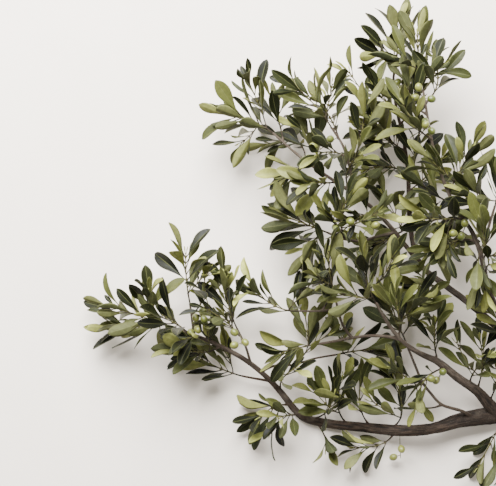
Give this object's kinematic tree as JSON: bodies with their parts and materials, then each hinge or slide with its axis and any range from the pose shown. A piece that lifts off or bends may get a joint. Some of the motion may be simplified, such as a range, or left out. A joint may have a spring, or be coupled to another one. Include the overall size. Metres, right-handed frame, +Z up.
{
  "type": "olive branch with fruit",
  "caption": "Cut olive branch laid on its side: a forked woody limb with leafy shoots of opposite leaves and small clusters of green olives.",
  "frame": {"origin": "middle of the flat resting spot under the butt end of the limb, on the surface that the branch lies on", "axes": "+Z up from that surface, +X along the limb towards its cut butt end, +Y towards the crown of the branch"},
  "size_m": [0.8023, 0.782, 0.2107],
  "materials": {
    "bark": "dry, dark grey-brown bark with long ridges",
    "leaf": "satin, dark green above and pale grey-green below",
    "olive_skin": "smooth light green skin with a soft sheen"
  },
  "bodies": {
    "root": {"olives_01": "olive_skin", "olives_02": "olive_skin", "olives_03": "olive_skin", "olives_04": "olive_skin", "olives_05": "olive_skin", "olives_06": "olive_skin", "olives_07": "olive_skin", "olives_08": "olive_skin", "olives_09": "olive_skin", "olives_10": "olive_skin", "olives_11": "olive_skin", "olives_12": "olive_skin", "spray_arc_end": "leaf", "spray_arc_side": "leaf", "spray_arch_up": "leaf", "spray_beam_right": "leaf", "spray_bough_low": "leaf", "spray_butt_shoot": "leaf", "spray_crest": "leaf", "spray_crest_in": "leaf", "spray_crest_low": "leaf", "spray_crown_left": "leaf", "spray_crown_low": "leaf", "spray_crown_right": "leaf", "spray_edge_mid": "leaf", "spray_edge_top": "leaf", "spray_far_end": "leaf", "spray_far_rise": "leaf", "spray_far_under": "leaf", "spray_fork_right": "leaf", "spray_fork_up": "leaf", "spray_heart": "leaf", "spray_high_left": "leaf", "spray_high_right": "leaf", "spray_knee_low": "leaf", "spray_left_lift": "leaf", "spray_left_mid": "leaf", "spray_left_reach": "leaf", "spray_left_rise": "leaf", "spray_left_tip": "leaf", "spray_low_four": "leaf", "spray_low_left": "leaf", "spray_low_reach": "leaf", "spray_low_three": "leaf", "spray_low_two": "leaf", "spray_mast_high": "leaf", "spray_mid_left": "leaf", "spray_mid_right": "leaf", "spray_rosette": "leaf", "spray_rosette_up": "leaf", "spray_shelf_end": "leaf", "spray_spine": "leaf", "spray_spine_right": "leaf", "spray_spire_end": "leaf", "spray_top_end": "leaf", "spray_under_arch": "leaf", "spray_under_two": "leaf", "spray_upper_left": "leaf", "spray_upper_twin": "leaf", "wood": "bark"}
  },
  "joints": []
}
